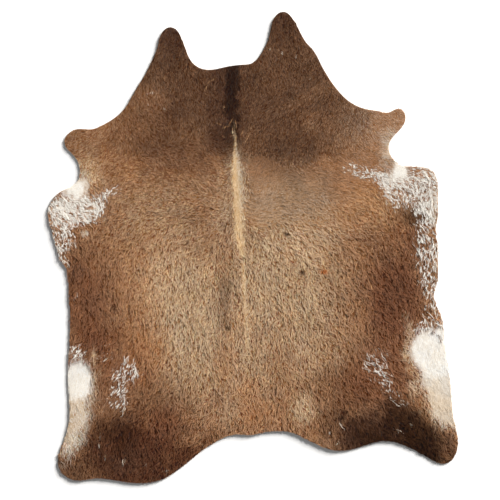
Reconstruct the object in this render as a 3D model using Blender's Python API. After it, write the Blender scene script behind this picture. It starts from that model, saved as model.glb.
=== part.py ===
"""A cowhide rug: one whole hair-on hide, cut flat, lying hair side up.

Metres, +Z up. The neck points to +Y, and the origin is under the middle of the hide's bounding
rectangle, on the face that it rests on.
"""
from math import cos, radians, sin
from typing import NamedTuple

import bpy
from mathutils import Vector

# The sheet: tanned leather with its coat of short hair lying on it
LEATHER_THICKNESS = 0.002
COAT_DEPTH = 0.003
HIDE_THICKNESS = LEATHER_THICKNESS + COAT_DEPTH

# The cut edge is a smooth closed curve. A handle reaches this share of the way to the next mark.
HANDLE_SHARE = 0.36
EDGE_STEPS_PER_MARK = 6

# Mean colour of the hair side, and its finish
COAT_COLOUR = (0.26, 0.15, 0.085, 1.0)
COAT_ROUGHNESS = 0.7


class EdgeMark(NamedTuple):
    """A point of the cut edge, and the heading of the cut there, in degrees from +X towards +Y."""

    x: float
    y: float
    heading: float


# The cut edge, walked clockwise as seen from above, one stretch of the hide after the other
CUT_EDGE = {
    "left neck tab": (
        EdgeMark(-0.432, 0.893, 71),
        EdgeMark(-0.414, 0.958, 65),
        EdgeMark(-0.372, 0.991, 0),
        EdgeMark(-0.311, 0.911, -67),
    ),
    "bay between the neck tabs": (
        EdgeMark(-0.273, 0.831, -48),
        EdgeMark(-0.198, 0.799, 0),
        EdgeMark(-0.108, 0.815, 10),
        EdgeMark(-0.032, 0.823, 2),
        EdgeMark(0.013, 0.842, 46),
    ),
    "right neck tab": (
        EdgeMark(0.063, 0.922, 66),
        EdgeMark(0.086, 1.010, 73),
        EdgeMark(0.135, 1.060, 0),
        EdgeMark(0.176, 1.031, -53),
        EdgeMark(0.231, 0.933, -57),
    ),
    "right shoulder": (
        EdgeMark(0.272, 0.885, -53),
        EdgeMark(0.312, 0.810, -61),
        EdgeMark(0.391, 0.695, -48),
        EdgeMark(0.472, 0.634, -23),
        EdgeMark(0.553, 0.615, -8),
    ),
    "right foreleg": (
        EdgeMark(0.600, 0.605, 0),
        EdgeMark(0.655, 0.624, 0),
        EdgeMark(0.685, 0.585, -90),
        EdgeMark(0.645, 0.515, -135),
    ),
    "right armpit": (
        EdgeMark(0.609, 0.450, -90),
        EdgeMark(0.639, 0.387, -43),
        EdgeMark(0.693, 0.364, -2),
        EdgeMark(0.769, 0.360, -6),
        EdgeMark(0.815, 0.333, -58),
    ),
    "right flank": (
        EdgeMark(0.831, 0.272, -90),
        EdgeMark(0.831, 0.150, -90),
        EdgeMark(0.821, 0.081, -90),
        EdgeMark(0.831, -0.012, -90),
        EdgeMark(0.832, -0.124, -90),
        EdgeMark(0.813, -0.219, -90),
        EdgeMark(0.839, -0.293, -66),
    ),
    "right hind leg": (
        EdgeMark(0.858, -0.385, -86),
        EdgeMark(0.875, -0.511, -80),
        EdgeMark(0.893, -0.682, -86),
        EdgeMark(0.904, -0.783, -78),
        EdgeMark(0.921, -0.873, -90),
        EdgeMark(0.901, -0.948, -125),
        EdgeMark(0.857, -0.973, 180),
        EdgeMark(0.787, -0.945, 150),
    ),
    "right rump": (
        EdgeMark(0.684, -0.891, 157),
        EdgeMark(0.589, -0.870, 180),
        EdgeMark(0.495, -0.893, -162),
        EdgeMark(0.391, -0.914, 180),
        EdgeMark(0.279, -0.881, 155),
        EdgeMark(0.193, -0.839, 157),
    ),
    "root of the tail": (
        EdgeMark(0.121, -0.825, 180),
        EdgeMark(0.049, -0.830, -170),
        EdgeMark(-0.005, -0.842, -175),
        EdgeMark(-0.068, -0.840, 180),
    ),
    "left rump": (
        EdgeMark(-0.140, -0.858, -154),
        EdgeMark(-0.239, -0.921, -142),
        EdgeMark(-0.338, -1.000, -145),
        EdgeMark(-0.410, -1.042, -160),
        EdgeMark(-0.504, -1.060, 180),
        EdgeMark(-0.608, -1.049, 171),
        EdgeMark(-0.702, -1.038, 180),
    ),
    "left hind leg": (
        EdgeMark(-0.788, -1.048, 180),
        EdgeMark(-0.844, -1.028, 143),
        EdgeMark(-0.878, -0.968, 90),
        EdgeMark(-0.851, -0.870, 70),
        EdgeMark(-0.824, -0.736, 90),
        EdgeMark(-0.832, -0.583, 90),
    ),
    "left flank": (
        EdgeMark(-0.822, -0.336, 90),
        EdgeMark(-0.830, -0.151, 92),
        EdgeMark(-0.849, -0.079, 127),
        EdgeMark(-0.880, -0.021, 106),
        EdgeMark(-0.905, 0.069, 106),
        EdgeMark(-0.921, 0.144, 90),
        EdgeMark(-0.903, 0.216, 57),
    ),
    "left armpit": (
        EdgeMark(-0.855, 0.256, 27),
        EdgeMark(-0.804, 0.284, 38),
        EdgeMark(-0.778, 0.344, 90),
        EdgeMark(-0.808, 0.416, 130),
    ),
    "left foreleg": (
        EdgeMark(-0.848, 0.474, 90),
        EdgeMark(-0.824, 0.518, 38),
        EdgeMark(-0.779, 0.533, 0),
        EdgeMark(-0.734, 0.531, 2),
    ),
    "left shoulder": (
        EdgeMark(-0.666, 0.556, 28),
        EdgeMark(-0.594, 0.607, 44),
        EdgeMark(-0.536, 0.695, 61),
        EdgeMark(-0.475, 0.798, 63),
    ),
}


def clear_scene():
    """Remove whatever objects the file already holds."""
    for leftover in list(bpy.data.objects):
        bpy.data.objects.remove(leftover, do_unlink=True)


def coat_material():
    """Brown short hair, the same all over: the coat's pattern isn't part of the solid."""
    material = bpy.data.materials.new("brown_hair_coat")
    material.use_nodes = True
    shader = material.node_tree.nodes["Principled BSDF"]
    shader.inputs["Base Color"].default_value = COAT_COLOUR
    shader.inputs["Roughness"].default_value = COAT_ROUGHNESS
    shader.inputs["Metallic"].default_value = 0.0
    return material


def cut_edge_spline(outline):
    """Lay one closed Bezier spline through the marks, each handle along its mark's heading."""
    marks = [mark for stretch in CUT_EDGE.values() for mark in stretch]
    places = [Vector((mark.x, mark.y, 0.0)) for mark in marks]
    spline = outline.splines.new("BEZIER")
    spline.bezier_points.add(len(marks) - 1)
    spline.use_cyclic_u = True
    for index, (mark, place) in enumerate(zip(marks, places)):
        before = places[index - 1]
        after = places[(index + 1) % len(places)]
        along = Vector((cos(radians(mark.heading)), sin(radians(mark.heading)), 0.0))
        point = spline.bezier_points[index]
        point.handle_left_type = "FREE"
        point.handle_right_type = "FREE"
        point.co = place
        point.handle_left = place - along * (place - before).length * HANDLE_SHARE
        point.handle_right = place + along * (after - place).length * HANDLE_SHARE
    return spline


def build_hide(collection):
    """The whole hide: the cut edge filled and given the thickness of leather and coat."""
    outline = bpy.data.curves.new("hide", "CURVE")
    outline.dimensions = "2D"
    outline.fill_mode = "BOTH"
    outline.extrude = HIDE_THICKNESS / 2
    outline.resolution_u = EDGE_STEPS_PER_MARK
    cut_edge_spline(outline)
    hide = bpy.data.objects.new("hide", outline)
    hide.location.z = HIDE_THICKNESS / 2
    hide.data.materials.append(coat_material())
    collection.objects.link(hide)
    return hide


def main():
    """Build the rug in a collection of its own."""
    clear_scene()
    rug = bpy.data.collections.new("cowhide_rug")
    bpy.context.scene.collection.children.link(rug)
    build_hide(rug)


main()
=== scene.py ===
"""A cowhide rug: the tanned skin and its coat of brown, fawn and white hair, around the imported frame.

Metres, +Z up. The neck points to +Y, and the hide lies hair side up on the floor at z = 0.
"""
from math import cos, pi, radians, sin
from typing import NamedTuple

import bpy
import numpy as np
from bpy.props import FloatProperty, FloatVectorProperty, PointerProperty
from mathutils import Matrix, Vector
from mathutils.geometry import delaunay_2d_cdt


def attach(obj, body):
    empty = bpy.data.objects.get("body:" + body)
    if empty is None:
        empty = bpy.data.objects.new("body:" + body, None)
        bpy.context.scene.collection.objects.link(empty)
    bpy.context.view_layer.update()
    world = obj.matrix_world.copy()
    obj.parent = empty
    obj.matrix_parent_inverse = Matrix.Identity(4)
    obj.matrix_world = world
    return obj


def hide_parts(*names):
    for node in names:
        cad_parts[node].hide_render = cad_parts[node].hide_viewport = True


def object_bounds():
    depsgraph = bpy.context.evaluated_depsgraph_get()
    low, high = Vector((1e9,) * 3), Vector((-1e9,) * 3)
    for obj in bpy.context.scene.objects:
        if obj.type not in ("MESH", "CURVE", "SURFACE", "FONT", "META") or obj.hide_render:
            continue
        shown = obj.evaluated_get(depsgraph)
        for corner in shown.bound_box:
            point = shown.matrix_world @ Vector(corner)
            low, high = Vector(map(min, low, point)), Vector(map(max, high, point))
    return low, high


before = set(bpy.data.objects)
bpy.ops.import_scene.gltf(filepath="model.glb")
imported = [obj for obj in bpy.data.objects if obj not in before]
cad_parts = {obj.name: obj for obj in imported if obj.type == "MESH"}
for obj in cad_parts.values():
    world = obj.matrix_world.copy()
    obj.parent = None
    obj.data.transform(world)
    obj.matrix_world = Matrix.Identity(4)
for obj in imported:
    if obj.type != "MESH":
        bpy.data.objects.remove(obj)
CAD_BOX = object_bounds()

bl_info = {
    "name": "Cowhide Rug",
    "version": (1, 0, 0),
    "blender": (4, 5, 0),
    "location": "3D View > Sidebar > Cowhide",
    "description": "Builds a whole hair-on cowhide rug: the skin, its coat and a plain studio",
    "category": "Add Mesh",
}

HIDE_NODE = "hide"
BODY = "root"
SEED = 1871
MM = 0.001

# The photograph looks straight down on the hide. Its markings are placed by the photograph's pixels,
# columns to the right and rows towards the tail.
PIXEL = 0.0045
ORIGIN_COLUMN = 253.1
ORIGIN_ROW = 247.4
VIEW_PIXELS = 500
VIEW_MIDDLE = (250, 250)


def across(column):
    """Where a column of the photograph lies on the hide, in metres to the right of the origin."""
    return (column - ORIGIN_COLUMN) * PIXEL


def along(row):
    """Where a row of the photograph lies on the hide, in metres from the origin towards the neck."""
    return (ORIGIN_ROW - row) * PIXEL


class Marking(NamedTuple):
    """A soft-edged patch of one shade. Turn is in degrees, from right towards the neck."""

    name: str
    column: float
    row: float
    half_width: float
    half_length: float
    turn: float
    softness: float
    shade: str
    strength: float


MARKINGS = (
    Marking("neck and shoulders", 238, 64, 126, 84, 0, 0.35, "brown", 0.95),
    Marking("left of the neck's notch", 212, 84, 26, 16, 0, 0.8, "umber", 0.35),
    Marking("right of the neck", 334, 106, 32, 18, -40, 0.8, "umber", 0.3),
    Marking("left shoulder's middle", 150, 140, 28, 24, 0, 0.8, "umber", 0.52),
    Marking("left neck's middle", 172, 106, 16, 14, 0, 0.8, "umber", 0.3),
    Marking("left neck's rim", 152, 98, 16, 12, 30, 0.8, "tan brown", 0.45),
    Marking("right neck's pale streak", 316, 92, 22, 5, 25, 0.8, "tan brown", 0.3),
    Marking("left shoulder", 178, 152, 34, 13, -6, 0.7, "brown", 0.9),
    Marking("right shoulder", 292, 142, 48, 20, 0, 0.6, "brown", 0.95),
    Marking("outer left shoulder", 132, 128, 26, 14, 20, 0.8, "cocoa", 0.5),
    Marking("outer right shoulder", 346, 124, 22, 14, -20, 0.8, "cocoa", 0.3),
    Marking("left foreleg", 72, 137, 18, 10, 0, 0.8, "brown", 0.2),
    Marking("right foreleg", 384, 126, 36, 26, 0, 0.8, "beige", 0.12),
    Marking("left neck tab", 170, 32, 24, 30, 0, 0.8, "umber", 0.75),
    Marking("right neck tab", 283, 14, 24, 24, 0, 0.8, "umber", 0.75),
    Marking("shade beside the mane", 224, 100, 14, 56, 0, 0.7, "umber", 0.8),
    Marking("right of the mane", 247, 100, 8, 42, 0, 0.8, "umber", 0.22),
    Marking("end of the mane", 220, 140, 14, 18, 0, 0.7, "umber", 0.6),
    Marking("mane", 232, 88, 7, 44, 0, 0.4, "black brown", 0.9),
    Marking("left side", 146, 276, 28, 44, 0, 0.8, "orange tan", 0.55),
    Marking("left chest", 158, 228, 32, 26, 0, 0.8, "pale fawn", 0.35),
    Marking("behind the left foreleg", 120, 170, 20, 16, 0, 0.8, "orange tan", 0.4),
    Marking("left of the back", 188, 318, 38, 70, 0, 0.7, "pale fawn", 0.85),
    Marking("left of the back's front", 174, 276, 36, 16, 0, 0.8, "pale fawn", 0.5),
    Marking("left back of the shoulder", 182, 196, 58, 22, 0, 0.8, "grey fawn", 0.25),
    Marking("left withers", 184, 163, 30, 17, 0, 0.7, "cocoa", 0.85),
    Marking("right of the back", 288, 274, 52, 76, 0, 0.55, "grey fawn", 1.0),
    Marking("right of the stripe's top", 286, 198, 46, 28, 0, 0.8, "taupe", 0.85),
    Marking("right withers", 284, 164, 32, 17, 0, 0.8, "brown", 0.5),
    Marking("right back of the shoulder", 332, 226, 30, 18, 0, 0.8, "grey fawn", 0.4),
    Marking("right of the stripe", 284, 250, 36, 24, 0, 0.8, "pale fawn", 0.2),
    Marking("right side", 342, 276, 20, 36, 0, 0.8, "cocoa", 0.28),
    Marking("loin", 240, 372, 60, 24, 0, 0.8, "grey fawn", 0.6),
    Marking("right of the loin", 318, 352, 34, 34, 0, 0.8, "grey fawn", 0.45),
    Marking("left of the loin's front", 144, 352, 21, 34, 10, 0.8, "orange tan", 0.75),
    Marking("fluff around the stripe", 236, 182, 14, 22, 0, 0.8, "fawn", 0.6),
    Marking("fluff left of the stripe", 226, 212, 11, 24, 0, 0.8, "fawn", 0.4),
    Marking("beside the thin stripe", 245, 318, 22, 64, 0, 0.8, "pale fawn", 0.4),
    Marking("left of the tail line", 227, 364, 10, 22, 0, 0.8, "orange tan", 0.55),
    Marking("right of the tail line", 284, 362, 16, 14, 0, 0.8, "tan brown", 0.35),
    Marking("streak left of the spine", 226, 298, 5, 34, 0, 0.7, "brown", 0.5),
    Marking("left flank", 82, 304, 32, 54, 4, 0.7, "chestnut", 0.8),
    Marking("left flank's dark fold", 76, 266, 9, 14, 0, 0.8, "umber", 0.25),
    Marking("left flank's end", 94, 342, 17, 13, -15, 0.8, "chestnut", 0.75),
    Marking("right flank", 396, 298, 30, 58, 0, 0.55, "chestnut", 0.92),
    Marking("right flank's front", 382, 246, 24, 18, 0, 0.8, "cocoa", 0.5),
    Marking("right flank's dark fold", 394, 280, 13, 24, 0, 0.8, "umber", 0.3),
    Marking("right elbow", 371, 204, 26, 19, 0, 0.8, "tan", 0.95),
    Marking("left of the loin", 160, 396, 30, 18, 0, 0.8, "cocoa", 0.65),
    Marking("left thigh", 110, 376, 32, 36, 0, 0.7, "chestnut", 0.57),
    Marking("left thigh's front", 130, 366, 26, 24, 0, 0.8, "rust", 0.12),
    Marking("right thigh's front", 338, 390, 28, 20, 0, 0.8, "cocoa", 0.8),
    Marking("right thigh", 380, 378, 36, 40, 0, 0.65, "chestnut", 0.78),
    Marking("left rump", 132, 455, 56, 42, 0, 0.55, "bay", 0.95),
    Marking("left rump's edge", 168, 424, 22, 18, 0, 0.8, "chestnut", 0.75),
    Marking("left rump's lower edge", 184, 457, 44, 10, 33, 0.7, "bay", 0.8),
    Marking("left rump's middle", 116, 434, 23, 14, -10, 0.6, "black brown", 0.5),
    Marking("left rump's end", 116, 462, 30, 14, 0, 0.8, "umber", 0.7),
    Marking("right rump", 371, 435, 45, 28, 0, 0.6, "umber", 0.95),
    Marking("right rump's middle", 420, 437, 46, 21, -36, 0.55, "black brown", 0.95),
    Marking("right rump's hollow", 388, 420, 26, 15, 10, 0.8, "black brown", 0.1),
    Marking("right rump's lower edge", 402, 450, 46, 17, -24, 0.7, "black brown", 1.0),
    Marking("root of the tail", 249, 408, 12, 30, 0, 0.8, "orange tan", 0.6),
    Marking("left of the tail's root", 228, 414, 13, 14, 0, 0.8, "pale fawn", 0.3),
    Marking("pale spot on the rump", 303, 406, 10, 13, 0, 0.6, "pale fawn", 0.95),
    Marking("left hind foot", 68, 474, 24, 15, -20, 0.5, "brown", 0.95),
    Marking("left lower leg", 75, 414, 15, 41, -13, 0.32, "beige", 0.88),
    Marking("left leg's fringe", 92, 386, 6, 20, 0, 0.7, "fawn", 0.8),
    Marking("left leg's white", 77, 380, 16, 21, 0, 0.25, "white", 0.92),
    Marking("right leg's rim, upper", 411, 352, 5, 22, 4, 0.8, "fawn", 0.7),
    Marking("right leg's rim, lower", 426, 400, 5, 28, 22, 0.8, "fawn", 0.55),
    Marking("right lower leg", 445, 391, 21, 39, 14, 0.2, "beige", 1.0),
    Marking("right leg's white", 436, 352, 23, 25, 8, 0.2, "bright white", 0.95),
    Marking("right leg's pale bend", 442, 384, 15, 12, 10, 0.8, "white", 0.5),
    Marking("right hind foot", 451, 448, 11, 16, 20, 0.4, "brown", 0.8),
    Marking("left armpit's rim", 85, 176, 16, 18, 0, 0.8, "pale fawn", 0.8),
    Marking("left armpit's pale hair", 79, 183, 10, 9, 0, 0.8, "beige", 0.8),
    Marking("left armpit's white", 75, 190, 16, 7, 5, 0.8, "white", 0.9),
    Marking("right armpit's rim", 391, 150, 9, 19, 8, 0.8, "beige", 0.75),
    Marking("right armpit's white", 401, 171, 8, 8, 0, 0.8, "white", 0.95),
    Marking("below the right armpit", 412, 240, 14, 14, 0, 0.7, "chestnut", 0.6),
    Marking("right armpit", 416, 217, 14, 8, -8, 0.5, "black brown", 0.66),
    Marking("right elbow's rim", 434, 210, 4, 13, 0, 0.6, "beige", 0.55),
)


class Roan(NamedTuple):
    """A patch where white tufts grow among the brown ones, and their share of the coat."""

    name: str
    column: float
    row: float
    half_width: float
    half_length: float
    turn: float
    softness: float
    share: float


ROAN = (
    Roan("left armpit", 75, 209, 29, 14, 0, 0.5, 0.6),
    Roan("left side of the chest", 61, 232, 11, 32, 0, 0.45, 0.4),
    Roan("left armpit's fringe", 97, 200, 12, 9, 20, 0.7, 0.28),
    Roan("left elbow", 113, 191, 9, 6, 0, 0.5, 0.3),
    Roan("left thigh's top", 75, 352, 9, 9, 0, 0.5, 0.45),
    Roan("left thigh, upper flecks", 107, 358, 9, 8, 0, 0.5, 0.08),
    Roan("left thigh, middle flecks", 127, 375, 11, 13, 0, 0.5, 0.3),
    Roan("left thigh, lower flecks", 119, 393, 11, 16, -10, 0.5, 0.29),
    Roan("right armpit's flecks", 364, 173, 17, 7, -12, 0.5, 0.3),
    Roan("right armpit's inner side", 386, 181, 11, 6, -18, 0.5, 0.45),
    Roan("right armpit", 405, 189, 27, 19, -15, 0.5, 0.4),
    Roan("right armpit's top", 418, 174, 20, 10, 0, 0.4, 0.35),
    Roan("right elbow", 426, 198, 12, 26, 0, 0.4, 0.34),
    Roan("right side of the chest", 427, 250, 12, 42, 0, 0.4, 0.34),
    Roan("right flank's rim", 432, 300, 8, 22, 0, 0.5, 0.2),
    Roan("right thigh's top", 428, 326, 14, 7, 0, 0.4, 0.33),
    Roan("right thigh, upper flecks", 376, 360, 12, 12, 0, 0.5, 0.23),
    Roan("right thigh, lower flecks", 382, 379, 9, 12, 30, 0.5, 0.21),
    Roan("right thigh's trail", 397, 396, 4, 8, 30, 0.5, 0.11),
)


class StripePoint(NamedTuple):
    """A point of the pale line down the spine."""

    row: float
    column: float
    half_width: float
    strength: float
    cream: float


SPINE_STRIPE = (
    StripePoint(118, 233.5, 0.6, 0.0, 0.3),
    StripePoint(134, 235.0, 0.8, 0.35, 0.4),
    StripePoint(150, 235.6, 1.6, 0.75, 0.8),
    StripePoint(165, 236.6, 4.6, 1.0, 0.9),
    StripePoint(190, 238.2, 6.1, 1.0, 0.75),
    StripePoint(215, 239.1, 5.7, 1.0, 0.35),
    StripePoint(238, 240.3, 5.0, 1.0, 0.15),
    StripePoint(252, 242.0, 2.6, 1.0, 0.1),
    StripePoint(258, 243.0, 1.4, 0.2, 0.1),
    StripePoint(264, 243.5, 2.0, 0.85, 0.1),
    StripePoint(300, 245.0, 1.8, 0.78, 0.3),
    StripePoint(345, 247.2, 1.6, 0.7, 0.3),
    StripePoint(380, 249.0, 1.2, 0.0, 0.3),
)


class Spot(NamedTuple):
    """A small mark in the coat."""

    name: str
    column: float
    row: float
    half_width: float
    half_length: float
    shade: str


SPOTS = (
    Spot("left neck, upper", 188, 67, 1.2, 1.2, "black brown"),
    Spot("left neck, lower", 176, 96.5, 1.5, 1.0, "black brown"),
    Spot("left of the stripe", 212, 209, 1.2, 1.2, "umber"),
    Spot("right of the stripe", 286.6, 234, 2.4, 1.8, "black brown"),
    Spot("right of the back", 302, 272.5, 3.2, 1.9, "umber"),
    Spot("left of the back", 228.5, 328, 2.8, 2.2, "black brown"),
    Spot("right rump", 341.5, 418, 2.8, 2.3, "black brown"),
    Spot("left side, upper", 128, 234, 1.6, 1.2, "umber"),
    Spot("left side, lower", 114, 308, 2.0, 3.6, "umber"),
    Spot("right of the back, rusty", 324, 272, 3.6, 2.4, "rust"),
    Spot("end of the stripe", 240, 259, 5.0, 0.9, "cocoa"),
    Spot("scar on the right side", 347, 316, 8.0, 0.8, "cocoa"),
    Spot("left armpit's brown hair", 70, 201, 5.0, 3.0, "tan"),
    Spot("left chest's pale spot", 85, 233, 3.4, 2.6, "beige"),
)


class Strand(NamedTuple):
    """A few hairs of another shade that lie together. Turn is in degrees, from right towards the neck."""

    column: float
    row: float
    half_length: float
    turn: float
    shade: str


STRANDS = (
    # Gold hairs above the stripe
    Strand(231, 121, 3.5, 60, "tan"),
    Strand(236, 124, 4.5, 100, "tan"),
    Strand(233, 133, 5.0, 95, "gold"),
    Strand(236, 141, 6.0, 88, "gold"),
    Strand(242, 134, 4.5, 75, "tan"),
    Strand(226, 127, 4.0, 20, "tan"),
    Strand(247, 139, 4.0, 60, "tan"),
    Strand(223, 136, 3.0, -35, "tan"),
    Strand(251, 128, 4.0, 40, "tan"),
    Strand(219, 124, 4.0, -20, "tan"),
    # Pale hairs on the neck
    Strand(211, 81, 4.5, 30, "tan"),
    Strand(206, 88, 3.0, 60, "tan"),
    Strand(151, 93, 3.0, 10, "beige"),
    Strand(164, 109, 1.0, 0, "beige"),
    Strand(148, 105, 1.2, 80, "beige"),
    Strand(134, 108, 2.0, 20, "tan"),
    Strand(270, 49, 1.2, 60, "beige"),
    Strand(282, 54, 1.8, 80, "beige"),
    Strand(296, 57, 2.0, 70, "beige"),
    Strand(310, 79, 1.4, 20, "beige"),
    Strand(224, 107, 1.6, 80, "tan"),
    # Pale hairs on the left rump
    Strand(103, 412, 2.4, 80, "beige"),
    Strand(100, 436, 3.0, 85, "beige"),
    Strand(99, 446, 3.0, 100, "beige"),
    Strand(105, 458, 2.6, 90, "beige"),
    Strand(123, 462, 3.4, 10, "beige"),
    Strand(145, 465, 1.4, 50, "beige"),
    Strand(166, 471, 3.0, 10, "beige"),
    # Pale hairs on the right rump
    Strand(400, 402, 1.4, 60, "beige"),
    Strand(408, 403, 1.4, 20, "beige"),
    Strand(393, 404, 1.0, 80, "beige"),
    Strand(411, 425, 2.0, 100, "beige"),
    Strand(398, 431, 2.6, 95, "beige"),
    Strand(342, 426, 1.6, 30, "beige"),
    Strand(330, 432, 1.4, 60, "beige"),
    Strand(337, 444, 3.0, 50, "beige"),
    # Brown hairs at the top of the right leg's white
    Strand(433, 333, 3.0, 20, "brown"),
    Strand(439, 336, 2.6, -20, "brown"),
    Strand(427, 330, 2.0, 10, "cocoa"),
    Strand(441, 341, 2.2, 60, "brown"),
    # Long pale hairs on the sides
    Strand(129, 233, 5.0, 75, "fawn"),
    Strand(172, 248, 7.0, 92, "grey fawn"),
    Strand(174, 264, 6.0, 86, "fawn"),
    Strand(292, 247, 6.0, 110, "fawn"),
    Strand(296, 257, 5.0, 100, "fawn"),
    Strand(345, 262, 8.0, 104, "tan"),
    Strand(349, 278, 8.0, 100, "tan"),
    Strand(364, 272, 7.0, 115, "tan"),
    Strand(371, 286, 6.0, 115, "orange tan"),
    Strand(106, 345, 4.0, 10, "beige"),
    Strand(76, 297, 3.0, 60, "beige"),
)


class Lay(NamedTuple):
    """Which way the hair lies: the heading of its tips, in degrees from right towards the neck."""

    name: str
    column: float
    row: float
    heading: float


LAY = (
    Lay("left neck tab", 170, 45, -95),
    Lay("left neck", 190, 92, -80),
    Lay("left shoulder", 145, 130, -60),
    Lay("left of the mane", 192, 120, -80),
    Lay("left withers", 205, 158, 136),
    Lay("left withers' side", 160, 165, 142),
    Lay("mane", 232, 100, -90),
    Lay("right of the mane", 256, 125, -115),
    Lay("right neck tab", 284, 45, -85),
    Lay("right neck", 300, 98, -112),
    Lay("right shoulder", 340, 125, -100),
    Lay("right withers", 288, 144, -118),
    Lay("right foreleg", 398, 118, -30),
    Lay("left foreleg", 76, 140, -150),
    Lay("left of the stripe, upper", 215, 182, 152),
    Lay("left of the stripe, lower", 212, 215, -168),
    Lay("left of the stripe's end", 200, 240, -125),
    Lay("stripe, upper", 239, 185, -92),
    Lay("stripe, lower", 240, 235, -90),
    Lay("right of the stripe, upper", 262, 180, 52),
    Lay("right of the stripe, lower", 264, 213, 28),
    Lay("right back, upper", 300, 192, 2),
    Lay("right back, lower", 312, 217, -16),
    Lay("right back's side", 348, 215, -26),
    Lay("right of the stripe's end", 282, 240, -62),
    Lay("right back's end", 318, 242, -48),
    Lay("left back of the shoulder", 155, 192, -172),
    Lay("right back of the shoulder", 345, 186, -5),
    Lay("left chest", 118, 226, -130),
    Lay("right chest", 376, 228, -56),
    Lay("right side, upper", 332, 264, -56),
    Lay("left of the back", 200, 282, -97),
    Lay("left side", 150, 282, -98),
    Lay("left flank", 100, 292, -93),
    Lay("left flank's rim", 72, 300, -105),
    Lay("right of the back", 290, 282, -84),
    Lay("right side", 345, 282, -68),
    Lay("right flank", 398, 282, -62),
    Lay("right flank's rim", 430, 268, -105),
    Lay("stripe's end", 242, 256, -89),
    Lay("left of the thin stripe, upper", 230, 275, -97),
    Lay("left of the thin stripe, lower", 230, 335, -98),
    Lay("thin stripe, upper", 244, 280, -88),
    Lay("thin stripe, middle", 246, 320, -88),
    Lay("thin stripe, lower", 247.5, 352, -88),
    Lay("left loin", 200, 350, -95),
    Lay("left thigh's front", 142, 362, -110),
    Lay("left thigh, upper", 110, 358, -128),
    Lay("left thigh", 120, 392, -122),
    Lay("left leg, upper", 78, 378, -95),
    Lay("left leg, lower", 74, 430, -85),
    Lay("right loin", 290, 350, -77),
    Lay("right thigh's front", 345, 352, -72),
    Lay("right thigh", 382, 372, -48),
    Lay("right leg, upper", 430, 358, -80),
    Lay("right leg, lower", 442, 410, -70),
    Lay("root of the tail", 250, 410, -90),
    Lay("left rump", 182, 430, -105),
    Lay("left hind foot", 108, 452, -100),
    Lay("right rump", 322, 430, -80),
    Lay("right rump's end", 396, 428, -50),
    Lay("right hind foot", 450, 450, -60),
    Lay("left armpit", 76, 208, -40),
    Lay("left side of the chest", 60, 240, -78),
    Lay("right armpit's flecks", 366, 170, -12),
    Lay("right armpit's top", 408, 172, -8),
    Lay("right armpit", 392, 190, -48),
    Lay("right armpit's outer side", 416, 196, -100),
    Lay("right side of the chest", 430, 208, -75),
)


class Growth(NamedTuple):
    """How one kind of hair grows. Lengths are in metres."""

    name: str
    # Whether it belongs to the body's long coat or to the neck's short one
    long: bool
    root_spacing: float
    tuft_spacing: float
    # Its length over the coat's, its width at the widest, and how often it can bend on its way
    stretch: float
    width: float
    bends: int
    # How much of its root's place in the tuft a tip keeps, and how far a tuft can turn from the lay
    gather: float
    tangle: float
    # How far locks stand off the skin, how far a tuft's ridge does beyond that, and how far they wave
    height: float
    ridge: float
    wave: float
    # Light and dark streaks that follow the lay, and how strongly they show: partly the hair's own tone,
    # partly painted shade where the coat lies low
    streak_width: float
    streak_length: float
    streak_tone: float
    # What is added to its tone
    paleness: float


GROWTHS = (
    Growth(
        name="short coat", long=False, root_spacing=3.2 * MM, tuft_spacing=5 * MM, stretch=1.0,
        width=1.7 * MM, bends=1, gather=0.7, tangle=radians(16), height=0.9 * MM, ridge=0.35 * MM,
        wave=0.8 * MM, streak_width=2.6 * MM, streak_length=8 * MM, streak_tone=0.4, paleness=0.0,
    ),
    Growth(
        name="long coat", long=True, root_spacing=3.2 * MM, tuft_spacing=6 * MM, stretch=1.0,
        width=1.9 * MM, bends=1, gather=0.6, tangle=radians(26), height=1.5 * MM, ridge=0.55 * MM,
        wave=2 * MM, streak_width=2.6 * MM, streak_length=10 * MM, streak_tone=0.64, paleness=0.0,
    ),
    Growth(
        name="loose hairs", long=True, root_spacing=18 * MM, tuft_spacing=12 * MM, stretch=3.0,
        width=2.4 * MM, bends=5, gather=1.0, tangle=radians(30), height=4 * MM, ridge=0.0,
        wave=6 * MM, streak_width=2.8 * MM, streak_length=10 * MM, streak_tone=0.0, paleness=0.22,
    ),
)
# The short coat of the neck gives way to the long coat of the body between these rows
SHORT_COAT_ROW = 130
LONG_COAT_ROW = 285
# Broad streaks run through all of the coat
BROAD_STREAK_WIDTH = 15 * MM
BROAD_STREAK_LENGTH = 80 * MM
BROAD_STREAK_TONE = 0.05
# How much single locks differ in tone, over how strongly their kind's streaks show
LOCK_TONE = 1.1
# White flecks in the roan patches
FLECK_WIDTH = 2.2 * MM
FLECK_LENGTH = 9 * MM
FLECK_SOFTNESS = 0.19
# Locks wave from side to side over this distance
WAVE_LENGTH = 13 * MM
# How far a lock's shading follows its own surface rather than that of the coat as a whole
OWN_FACING = 0.22
# The hair is trimmed this far outside the cut edge
OVERHANG = 2.2 * MM

# How the studio's light shows the hair: the share of it that brown hair throws back, what white hair
# adds to that share, and the gloss on top
KEY_AZIMUTH = radians(43)
COAT_SHARE = 0.757
WHITE_SHARE = 0.12
COAT_GLOSS = np.array((0.003, 0.004, 0.0045))
# Hair that lies away from the key light shows lighter by up to this share, and white hair by half, so it
# gets painted shade that much darker
LEAN_SHADE = 0.26
WHITE_LEAN = 0.5
# The darkest and the brightest that hair can be
DARKEST = 0.004
BRIGHTEST = 0.93
# Painted warm shade: darker locks and strands, which stand for the shaded gaps between locks, are made
# redder, their red darkening less and their blue more
PAINTED_SHADE_WARMTH = np.array((-0.42, 0.0, 0.6))
STRAND_SHADE_HUE = (0.75, 1.0, 1.35)


def hair_shade(name, red, green, blue, use):
    """A colour setting of the coat, given as the photograph shows it."""
    return FloatVectorProperty(
        name=name,
        description=use,
        subtype="COLOR_GAMMA",
        size=3,
        min=0.0,
        max=1.0,
        default=(red / 255, green / 255, blue / 255),
    )


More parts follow.
